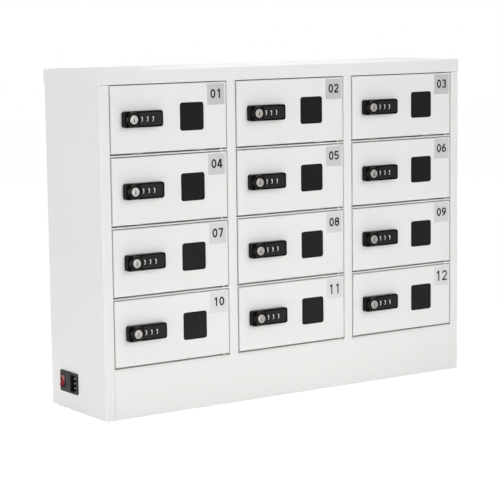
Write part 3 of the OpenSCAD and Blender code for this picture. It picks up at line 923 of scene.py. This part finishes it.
# Mains inlet and rocker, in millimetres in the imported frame

inlet_low, inlet_high = (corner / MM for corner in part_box("power_inlet"))
side_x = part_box("body_wrap")[0].x / MM
inlet_y, inlet_z = (inlet_low.y + inlet_high.y) / 2, (inlet_low.z + inlet_high.z) / 2
inlet_w, inlet_h = inlet_high.y - inlet_low.y, inlet_high.z - inlet_low.z
rocker_low, rocker_high = (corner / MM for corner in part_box("rocker_switch"))
rocker_y = (rocker_low.y + rocker_high.y) / 2
socket_y = inlet_y - 14

SOCKET_W, SOCKET_H, SOCKET_D = 17, 24.4, 16.5
SOCKET_KEY = 4.5
WELL_W, WELL_H, WELL_D = 11.6, 18, 16
WELL_RIM = 1.3
BODY_D = 28
BLADE_W, BLADE_T = 4, 2
BLADE_IN = 2.5
BLADE_PITCH = 7


def inlet_mesh():
    """Flange with a keyed socket towards the front and a framed well for the rocker."""
    front = inlet_low.x

    def flange_outline(inset):
        return round_rect(inlet_w - 2 * inset, inlet_h - 2 * inset, 2.5 - inset, inlet_y, inlet_z)

    def frame_outline(inset):
        grow = 2 * WELL_RIM - 2 * inset
        return round_rect(WELL_W + grow, WELL_H + grow, 1.2 - inset, rocker_y, inlet_z)

    def socket_outline(grow):
        half_w, half_h, key = SOCKET_W / 2 + grow, SOCKET_H / 2 + grow, SOCKET_KEY
        corners = (
            (half_w, half_h), (key - half_w, half_h), (-half_w, half_h - key),
            (-half_w, key - half_h), (key - half_w, -half_h), (half_w, -half_h),
        )
        return [(socket_y + y, inlet_z + z) for y, z in corners]

    socket = loft([
        (front - 1, socket_outline(0.6)), (front, socket_outline(0.6)),
        (front + 0.6, socket_outline(0)), (front + SOCKET_D, socket_outline(0)),
    ], "X")
    well = slab(round_rect(WELL_W, WELL_H, 0.6, rocker_y, inlet_z), front - 2, front + WELL_D, "X")
    flange = soft_slab(flange_outline, front, side_x, 0.9, "X")
    rear = slab(round_rect(inlet_w - 2, inlet_h - 4, 1, inlet_y, inlet_z), side_x - 0.1, side_x + BODY_D, "X")
    lip = soft_slab(frame_outline, front - 0.7, front + 0.1, 0.4, "X")
    pairs = [(carved(block, socket.copy(), well.copy()), INLET_BLACK) for block in (flange, rear)]
    pairs.append((carved(lip, well), INLET_BLACK))
    socket.free()
    for k in (-1, 0, 1):
        def blade_outline(inset, k=k):
            width, height = BLADE_W - 2 * inset, BLADE_T - 2 * inset
            return round_rect(width, height, 0.9 - inset, socket_y, inlet_z + k * BLADE_PITCH)
        pairs.append((soft_slab(blade_outline, front + BLADE_IN, inlet_high.x, 0.8, "X"), TIN))
    return new_mesh("inlet", *pairs)


def rocker_mesh():
    """Rocker with two hollowed faces that meet in a crease, tilted with its lower end out."""
    half = ROCKER_HALF

    def hollow(z):
        return -PIVOT_IN + ROCKER_DISH - (ROCKER_RISE + ROCKER_DISH) * (abs(z) / half) ** 1.6

    face = [(hollow(z), z) for z in (half * k / 8 for k in range(-8, 9))]
    back = [(3, half - 0.6), (6, half - 4), (6, 4 - half), (3, 0.6 - half)]
    rounding = ((0.5, 0.0), (0.15, 0.2), (0.0, 0.6))
    ends = [(-1, inset, drop) for inset, drop in rounding] + [(1, inset, drop) for inset, drop in rounding[::-1]]
    sections = []
    for side, inset, drop in ends:
        outline = [(x + inset, z * (1 - inset / half)) for x, z in face] + back
        sections.append((side * (ROCKER_W / 2 - drop), outline))
    pins = rod(-6.5, 6.5, 1.0, "Y", steps=20)
    pivot = Vector((inlet_low.x + PIVOT_IN, rocker_y, inlet_z))
    tilt = Matrix.Translation(pivot) @ Matrix.Rotation(math.radians(ROCKER_TILT), 4, "Y")
    return new_mesh("rocker", (moved(loft(sections), tilt), ROCKER_RED), (moved(pins, tilt), ROCKER_RED))


def dress_inlet():
    set_piece("mains_inlet", inlet_mesh(), "cabinet", stands_for=["power_inlet"])
    set_piece("mains_rocker", rocker_mesh(), "rocker_switch", stands_for=["rocker_switch"])


# Charging outlets

OUTLET_W, OUTLET_H = 24, 16
OUTLET_PLATE = 2
MOUTH_W, MOUTH_H = 12.6, 5.2
CONTACT_PITCH = 2.4


def outlet_shapes(x, y, z):
    """One outlet: a plate with a dished mouth, a metal shell, a tongue and four contacts."""
    front = y - OUTLET_PLATE
    half_w, half_h = OUTLET_W / 2 - 2, OUTLET_H / 2 - 2

    def plate_outline(inset):
        return round_rect(OUTLET_W - 2 * inset, OUTLET_H - 2 * inset, 1.5 - inset, x, z)

    plate = soft_slab(plate_outline, front, y, 0.6)
    rear = box((x - half_w, y - 0.2, z - half_h), (x + half_w, y + 16, z + half_h))
    mouth = loft([
        (front - 0.1, round_rect(MOUTH_W + 1.6, MOUTH_H + 1.6, 0.9, x, z)),
        (front + 0.7, round_rect(MOUTH_W, MOUTH_H, 0.5, x, z)),
        (y + 8, round_rect(MOUTH_W, MOUTH_H, 0.5, x, z)),
    ])
    shell = carved(
        slab(round_rect(MOUTH_W - 0.1, MOUTH_H - 0.1, 0.5, x, z), front + 0.9, y + 7.9),
        slab(round_rect(MOUTH_W - 0.6, MOUTH_H - 0.6, 0.4, x, z), front, y + 7.5),
    )
    tongue = soft_box((x - 5.6, front + 1.6, z + 0.2), (x + 5.6, y + 7.6, z + 2.0))
    pairs = [
        (carved(plate, mouth.copy()), OUTLET_BLACK), (carved(rear, mouth), OUTLET_BLACK), (shell, ZINC),
        (tongue, OUTLET_TONGUE),
    ]
    for k in range(4):
        left = x - 4.2 + CONTACT_PITCH * k
        pairs.append((box((left, front + 2.2, z + 0.1), (left + 1.2, y + 7, z + 0.25)), CONTACTS))
    return pairs


def dress_outlets():
    low, high = (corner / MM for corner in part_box("usb_outlets"))
    across = (high.x - low.x - OUTLET_W) / (COLUMNS - 1)
    up = (high.z - low.z - OUTLET_H) / (ROWS - 1)
    first = new_mesh("outlet", *outlet_shapes(0, low.y + OUTLET_PLATE, 0))
    whole = bmesh.new()
    for number in range(DOORS):
        column, row = number % COLUMNS, number // COLUMNS
        copy = first.copy()
        copy.transform(Matrix.Translation(
            (low.x + OUTLET_W / 2 + column * across, 0, low.z + OUTLET_H / 2 + row * up)
        ))
        whole.from_mesh(copy)
        bpy.data.meshes.remove(copy)
    mesh = first.copy()
    whole.to_mesh(mesh)
    whole.free()
    set_piece("charging_outlets", creased(mesh), "cabinet", stands_for=["usb_outlets"])


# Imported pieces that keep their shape

def islands(mesh):
    """Groups of the mesh's faces that hang together, each with its lowest and highest corner."""
    place, leader = {}, {}

    def find(key):
        while leader[key] != key:
            leader[key] = leader[leader[key]]
            key = leader[key]
        return key

    for vertex in mesh.vertices:
        place[vertex.index] = tuple(round(c * 1e6) for c in vertex.co)
        leader.setdefault(place[vertex.index], place[vertex.index])
    for face in mesh.polygons:
        first = find(place[face.vertices[0]])
        for index in face.vertices[1:]:
            leader[find(place[index])] = first
    groups = {}
    for face in mesh.polygons:
        groups.setdefault(find(place[face.vertices[0]]), []).append(face.index)
    found = []
    for faces in groups.values():
        points = [mesh.vertices[v].co for f in faces for v in mesh.polygons[f].vertices]
        low = Vector([min(p[k] for p in points) for k in range(3)])
        high = Vector([max(p[k] for p in points) for k in range(3)])
        found.append((faces, low, high))
    return found


def paint(node, material, others=()):
    """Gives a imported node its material. others are (material, test of an island's corners) pairs."""
    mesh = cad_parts[node].data
    mesh.materials.clear()
    mesh.materials.append(material)
    for face in mesh.polygons:
        face.material_index = 0
    for index, (other, test) in enumerate(others, 1):
        mesh.materials.append(other)
        for faces, low, high in islands(mesh):
            if test(low, high):
                for face in faces:
                    mesh.polygons[face].material_index = index


def dress_sheet_metal():
    for node in ("body_wrap", "top_cap", "front_frame", "dividers", "charging_panel"):
        paint(node, WHITE_COAT)
    for number in range(1, DOORS + 1):
        # The pane is the only solid of a door that is narrower than this
        paint(f"door_{number:02d}", WHITE_COAT, [(PANE, lambda low, high: high.x - low.x < 100 * MM)])
    paint("hinge_pins", ZINC)


def dress_power():
    """The supply with its terminals and screws, and the wiring with the mains leads at the inlet's blades."""
    paint("power_supply", SUPPLY_CASE, [
        (OUTLET_BLACK, lambda low, high: 20 * MM < high.z - low.z < 30 * MM),
        (ZINC, lambda low, high: high.z - low.z < 9 * MM and high.x - low.x < 9 * MM),
    ])

    def is_lead(low, high, z):
        return high.z - low.z < 4 * MM and abs((low.z + high.z) / 2 - z * MM) < 2 * MM

    paint("wiring", LOOM_JACKET, [
        (lead, lambda low, high, z=inlet_z + k * BLADE_PITCH: is_lead(low, high, z))
        for k, lead in zip((-1, 0, 1), LEADS)
    ])


def dress_back():
    """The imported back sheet, with cross-head screws in place of the plain ones."""
    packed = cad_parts["back_panel"].data
    sheet = bmesh.new()
    sheet.from_mesh(packed)
    sheet.faces.ensure_lookup_table()
    screws = [item for item in islands(packed) if item[2].x - item[1].x < 20 * MM]
    spare = [sheet.faces[f] for faces, _, _ in screws for f in faces]
    bmesh.ops.delete(sheet, geom=spare, context="FACES")
    bmesh.ops.remove_doubles(sheet, verts=sheet.verts, dist=1e-7)
    sheet.transform(Matrix.Scale(1 / MM, 4))
    pairs = [(sheet, WHITE_COAT)]
    head_r, head_t, shank_r = 4, 0.95, 1.95
    for _, low, high in screws:
        x, z = (low.x + high.x) / 2 / MM, (low.z + high.z) / 2 / MM
        face = high.y / MM
        pairs.append((cross_head(face - head_t, x, z, head_r, head_t), ZINC))
        shank = rod(low.y / MM, face - head_t + JOIN, shank_r, "Y", x, z, 0.3, 20)
        pairs.append((shank, ZINC))
    mesh = new_mesh("back", *pairs, flats=True)
    set_piece("back_sheet", mesh, "cabinet", stands_for=["back_panel"])


# Studio

# Strength of the world's light on the object, and the floor's colour, own glow and the camera's share of it
AMBIENT = 0.16
FLOOR_GREY = 0.86
FLOOR_GLOW = 1.09
FLOOR_SHARE = 0.9


def seen_ray(tree):
    """1 for what the camera sees, directly or through glass."""
    path = tree.add("ShaderNodeLightPath").outputs
    return tree.calculate("MAXIMUM", path["Is Camera Ray"], path["Is Transmission Ray"])


def build_world():
    """White to the eye, and a dimmer even light on the object and in its reflections."""
    world = bpy.data.worlds.new("Studio")
    tree = blank_tree(world)
    strength = tree.spread(seen_ray(tree), 0, 1, AMBIENT, 1.0)
    background = tree.add("ShaderNodeBackground", {"Color": (1, 1, 1, 1), "Strength": strength})
    tree.add("ShaderNodeOutputWorld", {"Surface": background.outputs[0]})
    bpy.context.scene.world = world


# Name, place, what it is aimed at, side, spread in degrees and power
LAMPS = [
    ("Key", (1.3, -3.0, 2.2), (0.1, 0, 0.1), 1.6, 90, 7.4),
    ("Front", (0.3, -3.0, 0.9), (0.0, 0, 0.2), 1.6, 90, 6.4),
    ("Low", (-0.3, -2.0, 0.15), (0, 0, 0.1), 1.0, 180, 12.8),
    ("Side", (-2.4, 0.1, 0.7), (0, 0, 0.25), 1.4, 180, 30.0),
    ("Top", (0.05, 0.2, 1.35), (0, 0, 0.49), 0.9, 55, 2.3),
    ("Rear", (2.0, 2.6, 0.3), (0, 0, 0.25), 1.0, 180, 18.0),
]


def build_lamps():
    """Square soft boxes round the object."""
    for name, place, aim, side, spread, power in LAMPS:
        lamp = bpy.data.lights.new(name, "AREA")
        lamp.size = side
        lamp.spread = math.radians(spread)
        lamp.energy = power
        holder = new_object(name, lamp)
        holder.location = place
        holder.rotation_euler = (Vector(aim) - Vector(place)).to_track_quat("-Z", "Y").to_euler()


def build_floor():
    """A pale floor that shows white but keeps the shadow of the object."""
    material = bpy.data.materials.new("Floor")
    tree = blank_tree(material)
    matt = tree.add("ShaderNodeBsdfDiffuse", {"Color": (FLOOR_GREY, FLOOR_GREY, FLOOR_GREY, 1)})
    glow = tree.add("ShaderNodeEmission", {"Color": (1, 1, 1, 1), "Strength": FLOOR_GLOW})
    share = tree.spread(seen_ray(tree), 0, 1, 0.0, FLOOR_SHARE)
    mix = tree.add("ShaderNodeMixShader", {"Fac": share})
    tree.feed(mix.inputs[1], matt.outputs[0])
    tree.feed(mix.inputs[2], glow.outputs[0])
    tree.add("ShaderNodeOutputMaterial", {"Surface": mix.outputs[0]})
    mesh = bpy.data.meshes.new("floor")
    reach = 6
    corners = [(-reach, -reach, 0), (reach, -reach, 0), (reach, reach, 0), (-reach, reach, 0)]
    mesh.from_pydata(corners, [], [(0, 1, 2, 3)])
    mesh.materials.append(material)
    floor = new_object("floor", mesh)
    floor.location.z = -0.2 * MM


def build_camera():
    data = bpy.data.cameras.new("Camera")
    data.sensor_width = CAMERA_SENSOR
    data.lens = CAMERA_LENS
    data.clip_end = 50
    camera = new_object("Camera", data)
    camera.location = CAMERA_PLACE
    camera.rotation_euler = [math.radians(angle) for angle in CAMERA_TURN]
    bpy.context.scene.camera = camera


build_camera()
dress_sheet_metal()
dress_doors()
dress_inlet()
dress_outlets()
dress_power()
dress_back()
build_world()
build_lamps()
build_floor()
bpy.context.scene.view_settings.view_transform = "Standard"
